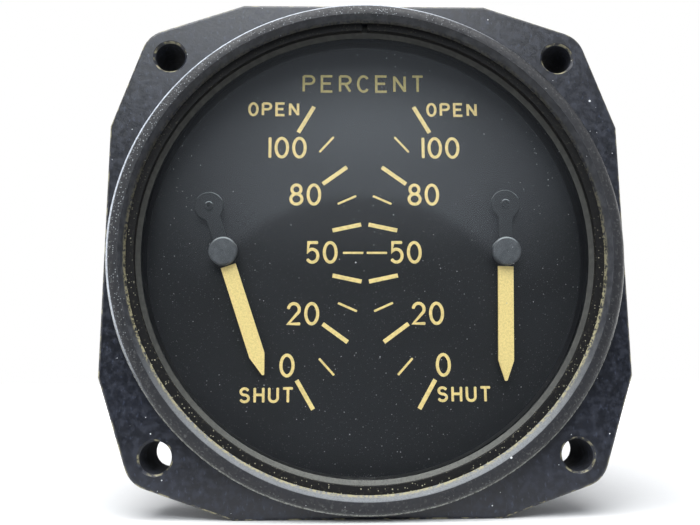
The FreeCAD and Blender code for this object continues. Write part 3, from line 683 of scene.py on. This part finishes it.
class INDICATOR_OT_dial(Operator):
    """Finish the dial plate in matt black paint"""

    bl_idname = "indicator.dial"
    bl_label = "Dial"

    def execute(self, context):
        colours = context.scene.indicator_colours
        finish = Finish("dial_black")
        fine = finish.noise(0.25 * MM, 5)
        cloud = finish.between(finish.noise(14 * MM, 3), 0.3, 0.75)
        black = Vector(colours.dial_colour)
        base = finish.tint(black, black * 1.5, cloud)
        base = finish.tint(base, black * 2.6, finish.between(fine, 0.55, 0.8))
        dust = finish.either(finish.both(finish.specks(0.34 * MM, 0.12 * MM, 0.45), 0.09),
                             finish.both(finish.specks(0.8 * MM, 0.16 * MM, 0.30), 0.34),
                             finish.both(finish.specks(2.6 * MM, 0.20 * MM, 0.35), 0.5))
        finish.colour(finish.tint(base, colours.dust_colour, dust))
        finish.shader.inputs["Specular IOR Level"].default_value = 0.3
        finish.rough(finish.scaled(fine, 0.55, 0.8))
        finish.bump(fine, 0.02 * MM, 0.7)
        finish.wear_on("dial")
        return {"FINISHED"}


class INDICATOR_OT_scale_marks(Operator):
    """Paint the marks of both percent scales, thick at even tens and thin at odd tens"""

    bl_idname = "indicator.scale_marks"
    bl_label = "Scale marks"

    def execute(self, context):
        sizes = context.scene.indicator_markings
        for side, sign in SIDES.items():
            mesh = bmesh.new()
            for number in range(MARK_COUNT):
                along = min(number, MARK_COUNT - 1 - number)
                angle = math.radians(ZERO_ANGLE + MARK_STEP * number)
                heading = Vector((-sign * math.cos(angle), math.sin(angle)))
                pivot = Vector((PIVOTS[side].x, PIVOTS[side].z))
                ends = [pivot + heading * MARK_INNER[along] * MM, pivot + heading * MARK_OUTER[along] * MM]
                width = sizes.thick_mark if number % 2 == 0 else sizes.thin_mark
                paint_stroke(mesh, ends, width / 2, sizes.paint_height, number % 2 == 1)
            name = "scale_marks_" + side
            new_piece(name, finished_mesh(name, mesh), marking_paint())
        return {"FINISHED"}


class INDICATOR_OT_numbers(Operator):
    """Paint the numbers beside both scales"""

    bl_idname = "indicator.numbers"
    bl_label = "Numbers"

    def execute(self, context):
        sizes = context.scene.indicator_markings
        for text, left_x, right_x, z in NUMBERS:
            for side, x in (("left", left_x), ("right", right_x)):
                name = "number_" + text + "_" + side
                mesh = write_text(name, text, (x * MM, z * MM), sizes.number_height, sizes.number_width,
                                  sizes.number_stroke, NUMBER_GAP, sizes.paint_height, True)
                new_piece(name, mesh, marking_paint())
        return {"FINISHED"}


class INDICATOR_OT_words(Operator):
    """Paint the plain words on the dial"""

    bl_idname = "indicator.words"
    bl_label = "Words"

    def execute(self, context):
        sizes = context.scene.indicator_markings
        height, width, gap = END_WORD_SIZE
        for text, left_x, right_x, z in END_WORDS:
            for side, x in (("left", left_x), ("right", right_x)):
                name = "word_" + text.lower() + "_" + side
                mesh = write_text(name, text, (x * MM, z * MM), height, width,
                                  sizes.word_stroke, gap, sizes.paint_height, text == "SHUT")
                new_piece(name, mesh, marking_paint())
        text, x, z = SCALE_WORD
        name = "word_" + text.lower()
        height, width, gap = SCALE_WORD_SIZE
        mesh = write_text(name, text, (x * MM, z * MM), height, width,
                          sizes.word_stroke, gap, sizes.paint_height, False)
        # PERCENT is painted darker and yellower: a painted shadow of the rim.
        new_piece(name, mesh, marking_paint("marking_paint_shadowed", 0.50))
        return {"FINISHED"}


class INDICATOR_OT_pointers(Operator):
    """Paint the pointers: cream blades, matt black tails, hubs, weights and rivets, with painted highlights
    on upper edges
    """

    bl_idname = "indicator.pointers"
    bl_label = "Pointers"

    def execute(self, context):
        colours = context.scene.indicator_colours
        hub_colour = Vector(colours.hub_colour)
        black = Finish("hub_black")
        fine = black.noise(0.2 * MM, 4)
        blotch = black.between(black.noise(1.1 * MM, 3), 0.4, 0.7)
        shade = black.tint(hub_colour, hub_colour * 1.5, blotch)
        shade = black.tint(shade, hub_colour * 2.8, black.both(black.between(fine, 0.5, 0.8), 0.7))
        # Upper edges painted pale: a painted highlight.
        black.colour(black.tint(shade, PAINTED_EDGE_HIGHLIGHT, black.upper_edge_highlight()))
        black.rough(black.scaled(fine, 0.36, 0.55))
        black.bump(fine, 0.015 * MM)
        for side in SIDES:
            black.wear_on("pointer_hub_" + side, "counterweight_" + side)
            self.pointer_paint(side, Vector(colours.blade_colour), hub_colour * 0.32)
        return {"FINISHED"}

    def pointer_paint(self, side, blade_colour, tail_colour):
        """One pointer's paint: cream out from its hub, and black on the tail and its rivet, with a painted
        highlight on its upper edges.
        """
        finish = Finish("pointer_paint_" + side)
        angle = math.radians(REST_ANGLES[side])
        across = finish.minus(finish.x, PIVOTS[side].x)
        up = finish.minus(finish.z, PIVOTS[side].z)
        outward = finish.plus(finish.both(across, math.cos(angle)), finish.both(up, math.sin(angle)))
        fine = finish.noise(0.3 * MM, 4)
        cream = finish.tint(blade_colour, blade_colour * 0.8, finish.between(fine, 0.35, 0.75))
        tail = finish.tint(tail_colour, tail_colour * 1.6, finish.between(fine, 0.4, 0.8))
        # Upper edges painted pale: a painted highlight.
        tail = finish.tint(tail, PAINTED_EDGE_HIGHLIGHT, finish.upper_edge_highlight())
        on_blade = finish.between(outward, BLADE_START, BLADE_START + 0.1 * MM)
        finish.colour(finish.tint(tail, cream, on_blade))
        finish.shader.inputs["Specular IOR Level"].default_value = 0.16
        finish.rough(finish.scaled(fine, 0.5, 0.7))
        finish.bump(fine, 0.015 * MM)
        finish.wear_on("pointer_" + side, "balance_rivet_" + side)


def metal_finish(name, colour, smooth, rough, grain=(1, 1, 1), stain=0.35):
    """A plain metal with a cloudy stain and a fine grain drawn out along one axis."""
    finish = Finish(name)
    lines = finish.noise(0.3 * MM, 3, finish.stretched(*grain))
    cloud = finish.between(finish.noise(3 * MM, 4), 0.35, 0.75)
    dark = Vector(colour) * (1 - stain)
    finish.colour(finish.tint(colour, dark, cloud))
    finish.metal()
    finish.rough(finish.scaled(lines, smooth, rough))
    finish.bump(lines, 0.01 * MM)
    return finish


class INDICATOR_OT_receptacle(Operator):
    """Finish the receptacle: plated shell, dark insert and silver contacts"""

    bl_idname = "indicator.receptacle"
    bl_label = "Receptacle"

    def execute(self, context):
        shell = metal_finish("connector_alloy", (0.34, 0.34, 0.29), 0.35, 0.6)
        # The thread's roots are painted darker: painted shade in the grooves.
        groove = shell.both(shell.ring(11.0, 10.6), shell.ring(9.5, 9.7),
                            shell.depth(56.5, 57.0), shell.depth(68.3, 68.1))
        plating = shell.shader.inputs["Base Color"].links[0].from_socket
        shell.colour(shell.tint(plating, (0.10, 0.10, 0.08), shell.both(groove, 0.8)))
        mesh = self.threaded_mesh(NODES["connector_shell"].data)
        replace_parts(new_piece("threaded_shell", mesh, shell.material), "connector_shell")
        metal_finish("contact_silver", (0.72, 0.70, 0.66), 0.2, 0.4, (1, 0.1, 1)).wear_on("contact_pins")
        finish = Finish("insert_phenolic")
        flakes = finish.between(finish.noise(0.4 * MM, 5), 0.35, 0.7)
        finish.colour(finish.tint((0.045, 0.024, 0.014), (0.085, 0.050, 0.030), flakes))
        finish.rough(finish.scaled(flakes, 0.3, 0.5))
        finish.bump(flakes, 0.01 * MM)
        finish.wear_on("connector_insert")
        return {"FINISHED"}

    def threaded_mesh(self, plain):
        """The shell with a helical thread in place of its plain barrel."""
        mesh = bmesh.new()
        mesh.from_mesh(plain)
        bmesh.ops.remove_doubles(mesh, verts=mesh.verts, dist=WELD_DISTANCE)
        for face in mesh.faces:
            face.smooth = False
        barrel = []
        for face in mesh.faces:
            depths = [vert.co.y for vert in face.verts]
            heights = [math.hypot(vert.co.x, vert.co.z) - THREAD_CREST for vert in face.verts]
            if max(map(abs, heights)) < THREAD_TOLERANCE and max(depths) - min(depths) > SHORTEST_BARREL:
                barrel.append(face)
        rims = {vert for face in barrel for vert in face.verts}
        bmesh.ops.delete(mesh, geom=barrel, context="FACES_ONLY")
        edges = [edge for edge in mesh.edges if not edge.link_faces]
        bmesh.ops.delete(mesh, geom=edges, context="EDGES")
        start = min(vert.co.y for vert in rims)
        end = max(vert.co.y for vert in rims)
        middle = (start + end) / 2
        low = sorted((vert for vert in rims if vert.co.y < middle), key=self.turn_of)
        high = sorted((vert for vert in rims if vert.co.y > middle), key=self.turn_of)
        if len(low) != len(high):
            raise RuntimeError("The barrel's two rims don't match")
        count = round((end - start) / THREAD_PITCH * THREAD_ROWS)
        rows = [low]
        for number in range(1, count):
            y = start + (end - start) * number / count
            row = []
            for vert in low:
                turn = self.turn_of(vert)
                radius = self.thread_radius(y / THREAD_PITCH + turn / (2 * math.pi), y - start, end - y)
                row.append(mesh.verts.new((radius * math.cos(turn), y, radius * math.sin(turn))))
            rows.append(row)
        rows.append(high)
        for here, there in zip(rows, rows[1:]):
            for side in range(len(low)):
                after = (side + 1) % len(low)
                face = mesh.faces.new((here[side], here[after], there[after], there[side]))
                face.smooth = True
        data = finished_mesh("threaded_shell", mesh)
        data.set_sharp_from_angle(angle=SHARP_ANGLE)
        return data

    def turn_of(self, vert):
        return math.atan2(vert.co.z, vert.co.x)

    def thread_radius(self, turns, from_start, from_end):
        """Radius where the helix has made so many turns. The groove fades out at both ends."""
        share = abs(turns % 1.0 - 0.5) * 2
        groove = min(1.0, max(0.0, share * 1.3 - 0.15))
        fade = min(1.0, max(0.0, from_start / MM - 0.6), max(0.0, from_end / MM * 1.5 - 0.3))
        return THREAD_CREST - THREAD_DEPTH * groove * fade


class INDICATOR_OT_screws(Operator):
    """Finish the screws on the back"""

    bl_idname = "indicator.screws"
    bl_label = "Screws"

    def execute(self, context):
        steel = metal_finish("screw_steel", (0.42, 0.41, 0.37), 0.3, 0.55)
        steel.wear_on("chassis_screws", "connector_screws")
        return {"FINISHED"}


class INDICATOR_OT_movements(Operator):
    """Finish what the case holds: plates, posts and both movements"""

    bl_idname = "indicator.movements"
    bl_label = "Movements"

    def execute(self, context):
        plate = metal_finish("plate_aluminium", (0.62, 0.63, 0.64), 0.3, 0.5, (0.1, 1, 1))
        plate.wear_on("front_plate", "bearing_plate")
        brass = metal_finish("post_brass", (0.66, 0.52, 0.27), 0.25, 0.45, (1, 0.1, 1))
        for number in range(1, 5):
            brass.wear_on("front_post_%d" % number, "rear_post_%d" % number)
        can = metal_finish("can_steel", (0.50, 0.50, 0.48), 0.35, 0.55, (1, 0.1, 1))
        cup = metal_finish("cup_copper", (0.72, 0.40, 0.26), 0.25, 0.45, (1, 0.1, 1))
        bush = metal_finish("bush_bronze", (0.60, 0.42, 0.22), 0.25, 0.45)
        shaft = metal_finish("shaft_steel", (0.60, 0.60, 0.60), 0.15, 0.3)
        magnet = metal_finish("magnet_alloy", (0.22, 0.21, 0.20), 0.5, 0.75)
        core = metal_finish("core_steel", (0.28, 0.28, 0.29), 0.4, 0.6, (0.05, 1, 0.05))
        wire = metal_finish("winding_copper", (0.45, 0.18, 0.08), 0.3, 0.5, (1, 0.1, 1))
        sleeve = Finish("lead_sleeve")
        weave = sleeve.between(sleeve.noise(0.25 * MM, 2), 0.4, 0.6)
        sleeve.colour(sleeve.tint((0.22, 0.17, 0.07), (0.34, 0.28, 0.12), weave))
        sleeve.rough(sleeve.scaled(weave, 0.5, 0.8))
        sleeve.bump(weave, 0.05 * MM)
        for side in SIDES:
            can.wear_on("shield_can_" + side)
            cup.wear_on("damping_cup_" + side)
            bush.wear_on("front_bush_" + side, "rear_bush_" + side)
            shaft.wear_on("rotor_shaft_" + side)
            magnet.wear_on("rotor_magnet_" + side)
            core.wear_on("stator_core_" + side)
            wire.wear_on("stator_winding_" + side)
            sleeve.wear_on("lead_" + side)
        return {"FINISHED"}


# Studio

CAMERA_PLACE = Vector((-5.02, -109.19, -19.94)) * MM
CAMERA_RIGHT = Vector((0.9997, -0.0220, -0.0048))
CAMERA_UP = Vector((0.0012, -0.1597, 0.9872))
CAMERA_AHEAD = Vector((0.0224, 0.9869, 0.1596))
SENSOR_WIDTH = 36.0

# Floor, in metres: where it begins in front of the flange, its reach, and the middle of its dim patch
FLOOR_EDGE = -0.042
FLOOR_REACH = 3.0
FLOOR_MIDDLE = 0.03

COOL_LIGHT = (0.90, 0.96, 1.0)
COOL_ROOM = (0.90, 1.0, 1.13)


def lamp(name, place, target, width, height, power):
    light = bpy.data.lights.new(name, "AREA")
    light.shape = "RECTANGLE"
    light.size = width
    light.size_y = height
    light.energy = power
    holder = bpy.data.objects.new(name, light)
    bpy.context.scene.collection.objects.link(holder)
    holder.location = place
    holder.rotation_euler = (Vector(target) - Vector(place)).to_track_quat("-Z", "Y").to_euler()
    return holder


class Sky(NodeWork):
    """The world's nodes. Directions are given as slopes across and up from straight ahead of the dial."""

    def __init__(self, tree):
        super().__init__(tree, "Generated")
        ahead = self.combine("MAXIMUM", self.both(self.y, -1.0), 0.05)
        self.across = self.combine("DIVIDE", self.x, ahead)
        self.up = self.combine("DIVIDE", self.z, ahead)

    def oval(self, across, up, half_width, half_height, soft):
        """1 inside an oval with this middle, with an edge as soft as this share of its size."""
        reach_x = self.combine("DIVIDE", self.minus(self.across, across), half_width)
        reach_z = self.combine("DIVIDE", self.minus(self.up, up), half_height)
        return self.between(self.distance(reach_x, reach_z), 1 + soft, 1 - soft)


class INDICATOR_OT_stage(Operator):
    """Set up the camera, the lamps, the pale floor and the white surroundings"""

    bl_idname = "indicator.stage"
    bl_label = "Stage"

    def execute(self, context):
        self.camera(context)
        self.lamps(context)
        self.floor(context)
        self.world(context)
        context.scene.view_settings.view_transform = "Standard"
        return {"FINISHED"}

    def camera(self, context):
        view = bpy.data.cameras.new("camera")
        view.sensor_width = SENSOR_WIDTH
        view.lens = context.scene.indicator_studio.lens
        view.clip_start = 0.005
        view.clip_end = 20
        holder = bpy.data.objects.new("camera", view)
        context.scene.collection.objects.link(holder)
        turn = Matrix((CAMERA_RIGHT, CAMERA_UP, -CAMERA_AHEAD)).transposed()
        holder.matrix_world = Matrix.Translation(CAMERA_PLACE) @ turn.to_4x4()
        context.scene.camera = holder

    def lamps(self, context):
        settings = context.scene.indicator_studio
        lamp("ceiling_light", place=(-0.05, -0.18, 0.42), target=(0, -0.02, 0),
             width=0.50, height=0.36, power=settings.ceiling_power)
        front = lamp("front_light", place=(-0.10, -0.60, 0.455), target=(0, 0, 0.01),
                     width=0.50, height=0.17, power=settings.front_power)
        front.data.color = COOL_LIGHT
        lamp("side_light", place=(-0.50, -0.20, 0.03), target=(0, 0, 0),
             width=0.22, height=0.30, power=settings.side_power)

    def floor(self, context):
        low = CAD_BOX[0].z
        mesh = bmesh.new()
        corners = [(-FLOOR_REACH, FLOOR_EDGE), (FLOOR_REACH, FLOOR_EDGE), (FLOOR_REACH, FLOOR_REACH),
                   (-FLOOR_REACH, FLOOR_REACH)]
        mesh.faces.new([mesh.verts.new((x, y, low)) for x, y in corners])
        board = bpy.data.objects.new("floor", finished_mesh("floor", mesh))
        context.scene.collection.objects.link(board)
        finish = Finish("floor_white")
        grain = finish.noise(2 * MM, 3)
        finish.colour(finish.tint((0.80, 0.80, 0.80), (0.82, 0.82, 0.82), grain))
        finish.rough(0.9)
        paths = finish.node("ShaderNodeLightPath")
        glow = finish.node("ShaderNodeEmission")
        glow.inputs["Color"].default_value = (1, 1, 1, 1)
        seen = finish.either(paths.outputs["Is Camera Ray"], paths.outputs["Is Glossy Ray"],
                             paths.outputs["Is Transmission Ray"])
        from_middle = finish.distance(finish.x, finish.minus(finish.y, FLOOR_MIDDLE))
        far = finish.between(from_middle, 0.07, 0.30)
        finish.feed(glow.inputs["Strength"], finish.both(seen, finish.scaled(far, 0.02, 0.95)))
        both = finish.node("ShaderNodeAddShader")
        finish.connect(finish.shader.outputs[0], both.inputs[0])
        finish.connect(glow.outputs[0], both.inputs[1])
        finish.connect(both.outputs[0], finish.output.inputs["Surface"])
        wear(board, finish.material)

    def world(self, context):
        """White, but for what stands in front of the instrument: a dim room with one soft bright patch."""
        settings = context.scene.indicator_studio
        world = bpy.data.worlds.new("studio")
        context.scene.world = world
        world.use_nodes = True
        sky = Sky(world.node_tree)
        window = sky.oval(0.05, 0.275, 0.24, 0.145, 0.5)
        upper = sky.both(sky.oval(0.043, 0.47, 0.23, 0.22, 0.8), 0.48)
        middle = sky.both(sky.oval(0.045, 0.365, 0.10, 0.05, 0.8), 0.35)
        light = sky.both(sky.plus(window, upper, middle), settings.glow_level)
        watcher = sky.oval(0.037, 0.005, 0.253, 0.253, 0.045)
        through = sky.scaled(sky.between(sky.up, 0.13, 0.25), 0.05, 0.42)
        kept = sky.minus(1.0, sky.both(watcher, sky.minus(1.0, through)))
        dim = sky.plus(settings.room_level, sky.both(light, kept))
        room = sky.both(sky.oval(0, -0.2, 1.2, 0.85, 0.12), sky.combine("LESS_THAN", sky.y, -0.05))
        dim_colour = sky.node("ShaderNodeVectorMath", operation="SCALE")
        dim_colour.inputs[0].default_value = COOL_ROOM
        sky.feed(dim_colour.inputs["Scale"], dim)
        mirrored = sky.tint((1, 1, 1), dim_colour.outputs[0], room)

        paths = sky.node("ShaderNodeLightPath")
        level = settings.world_level
        gloss = sky.either(paths.outputs["Is Glossy Ray"], paths.outputs["Is Transmission Ray"])
        seen = sky.tint((level * 0.97, level, level * 1.05), mirrored, gloss)
        background = sky.node("ShaderNodeBackground")
        sky.feed(background.inputs["Color"], sky.tint(seen, (1, 1, 1), paths.outputs["Is Camera Ray"]))
        output = sky.node("ShaderNodeOutputWorld")
        sky.connect(background.outputs[0], output.inputs[0])


OPERATORS = (
    INDICATOR_OT_stage,
    INDICATOR_OT_case,
    INDICATOR_OT_front_rings,
    INDICATOR_OT_cover_glass,
    INDICATOR_OT_dial,
    INDICATOR_OT_scale_marks,
    INDICATOR_OT_numbers,
    INDICATOR_OT_words,
    INDICATOR_OT_pointers,
    INDICATOR_OT_receptacle,
    INDICATOR_OT_screws,
    INDICATOR_OT_movements,
)
GROUPS = (MarkingSizes, CaseColours, StudioSettings)


class INDICATOR_PT_panel(Panel):
    """The settings and one button for each step"""

    bl_idname = "INDICATOR_PT_panel"
    bl_label = "Cowl flap indicator"
    bl_space_type = "VIEW_3D"
    bl_region_type = "UI"
    bl_category = "Indicator"

    def draw(self, context):
        for settings in (context.scene.indicator_markings, context.scene.indicator_colours,
                         context.scene.indicator_studio):
            box = self.layout.box()
            for name in type(settings).__annotations__:
                box.prop(settings, name)
        for operator in OPERATORS:
            self.layout.operator(operator.bl_idname)


def register():
    for kind in GROUPS + OPERATORS + (INDICATOR_PT_panel,):
        bpy.utils.register_class(kind)
    bpy.types.Scene.indicator_markings = PointerProperty(type=MarkingSizes)
    bpy.types.Scene.indicator_colours = PointerProperty(type=CaseColours)
    bpy.types.Scene.indicator_studio = PointerProperty(type=StudioSettings)


def unregister():
    del bpy.types.Scene.indicator_markings
    del bpy.types.Scene.indicator_colours
    del bpy.types.Scene.indicator_studio
    for kind in reversed(GROUPS + OPERATORS + (INDICATOR_PT_panel,)):
        bpy.utils.unregister_class(kind)


def main():
    register()
    bpy.ops.indicator.stage()
    bpy.ops.indicator.case()
    bpy.ops.indicator.front_rings()
    bpy.ops.indicator.cover_glass()
    bpy.ops.indicator.dial()
    bpy.ops.indicator.scale_marks()
    bpy.ops.indicator.numbers()
    bpy.ops.indicator.words()
    bpy.ops.indicator.pointers()
    bpy.ops.indicator.receptacle()
    bpy.ops.indicator.screws()
    bpy.ops.indicator.movements()


if __name__ == "__main__":
    main()
